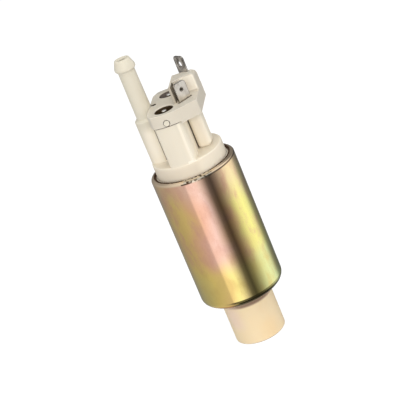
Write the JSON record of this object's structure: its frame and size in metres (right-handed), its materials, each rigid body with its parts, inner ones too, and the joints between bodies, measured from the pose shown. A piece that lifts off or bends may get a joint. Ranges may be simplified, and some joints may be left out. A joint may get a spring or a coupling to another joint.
{
  "type": "electric fuel pump",
  "caption": "In-tank electric fuel pump: steel can with a moulded head, side hose stem, two blade terminals, a brushed motor, a lobe-gear pump, two valves and an inlet neck.",
  "frame": {"origin": "centre of the inlet neck's end face, on the can's axis", "axes": "+Z along the can's axis from the inlet neck to the head; the hose stem stands towards -X, the terminals towards +X"},
  "size_m": [0.038, 0.038, 0.14],
  "materials": {
    "zinc_can": "yellow zinc passivated, satin",
    "head_plastic": "moulded, satin",
    "inlet_plastic": "moulded, satin",
    "seal_rubber": "matt",
    "pump_steel": "sintered and ground",
    "gear_steel": "ground",
    "core_steel": "stacked laminations",
    "spring_steel": "drawn wire and strip",
    "bearing_bronze": "sintered",
    "winding_copper": "enamelled wire",
    "segment_copper": "turned",
    "ferrite": "ground",
    "carbon": "pressed carbon",
    "hub_plastic": "moulded",
    "coupling_plastic": "moulded",
    "valve_plastic": "moulded",
    "tinned_cap": "tinned",
    "tinned_blade": "tinned, bright",
    "dark_blade": "tinned, dulled"
  },
  "bodies": {
    "housing": {"can": "zinc_can", "inlet_housing": "inlet_plastic", "inlet_seal": "seal_rubber", "cavity_ring": "pump_steel", "port_plate": "pump_steel", "dowel_pins": "gear_steel", "lower_bearing": "bearing_bronze", "upper_bearing": "bearing_bronze", "magnet_left": "ferrite", "magnet_right": "ferrite", "magnet_spring_front": "spring_steel", "magnet_spring_rear": "spring_steel", "end_cap": "head_plastic", "cap_seal": "seal_rubber", "brush_spring_front": "spring_steel", "brush_spring_rear": "spring_steel", "brush_lead_front": "winding_copper", "brush_lead_rear": "winding_copper", "brush_cap_front": "tinned_cap", "brush_cap_rear": "tinned_cap", "check_seat": "bearing_bronze", "check_spring": "spring_steel", "check_guide": "tinned_cap", "relief_seat": "bearing_bronze", "relief_spring": "spring_steel", "terminal_cover": "head_plastic", "terminal_low": "tinned_blade", "terminal_high": "dark_blade"},
    "rotor": {"shaft": "gear_steel", "armature_core": "core_steel", "armature_winding": "winding_copper", "commutator_hub": "hub_plastic", "commutator": "segment_copper", "upper_spacer": "gear_steel", "lower_spacer": "gear_steel", "drive_coupling": "coupling_plastic", "inner_gear": "gear_steel"},
    "ring_gear": {"outer_gear": "gear_steel"},
    "front_brush": {"brush_front": "carbon"},
    "rear_brush": {"brush_rear": "carbon"},
    "outlet_valve": {"check_valve": "valve_plastic"},
    "relief_valve": {"relief_ball": "gear_steel"}
  },
  "joints": [
    {"name": "rotor_spin", "type": "hinge", "parent": "housing", "child": "rotor", "pos_m": [0, 0, 0.06], "axis": [0, 0, 1], "continuous": true},
    {"name": "ring_gear_spin", "type": "hinge", "parent": "housing", "child": "ring_gear", "pos_m": [0.001, 0, 0.0331], "axis": [0, 0, 1], "continuous": true},
    {"name": "front_brush_slide", "type": "slide", "parent": "housing", "child": "front_brush", "axis": [0, 0, 1], "range_m": [0, 0.002], "stiffness_N_per_m": 80, "deforming": ["brush_spring_front", "brush_lead_front"]},
    {"name": "rear_brush_slide", "type": "slide", "parent": "housing", "child": "rear_brush", "axis": [0, 0, 1], "range_m": [0, 0.002], "stiffness_N_per_m": 80, "deforming": ["brush_spring_rear", "brush_lead_rear"]},
    {"name": "outlet_valve_lift", "type": "slide", "parent": "housing", "child": "outlet_valve", "axis": [0, 0, 1], "range_m": [0, 0.0025], "stiffness_N_per_m": 50, "deforming": ["check_spring"]},
    {"name": "relief_valve_lift", "type": "slide", "parent": "housing", "child": "relief_valve", "axis": [0, 0, 1], "range_m": [0, 0.0015], "stiffness_N_per_m": 50, "deforming": ["relief_spring"]}
  ],
  "couplings": [
    {"joint": "ring_gear_spin", "follows": "rotor_spin", "ratio": 0.85714}
  ]
}
